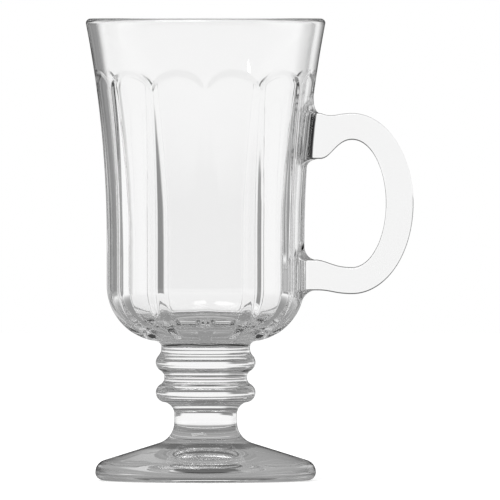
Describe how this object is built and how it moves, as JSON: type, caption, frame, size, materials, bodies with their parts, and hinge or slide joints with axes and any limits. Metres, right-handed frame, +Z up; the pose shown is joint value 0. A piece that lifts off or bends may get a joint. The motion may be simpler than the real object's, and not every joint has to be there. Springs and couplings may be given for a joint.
{
  "type": "footed glass coffee mug",
  "caption": "Clear pressed-glass coffee mug: flared round lip, fluted bowl with arched panels, beaded stem, conical foot and a bow-shaped handle at one side.",
  "frame": {"origin": "on the mug's upright axis, in the plane of the flat ring that the foot stands on", "axes": "+Z up along the mug's axis, +X from the axis towards the handle, +Y away from the side that the picture shows"},
  "size_m": [0.1051, 0.0768, 0.1482],
  "materials": {
    "clear_glass": "clear, colourless, fire-polished soda-lime glass"
  },
  "bodies": {
    "root": {"bowl": "clear_glass", "stem": "clear_glass", "foot": "clear_glass", "handle": "clear_glass"}
  },
  "joints": []
}
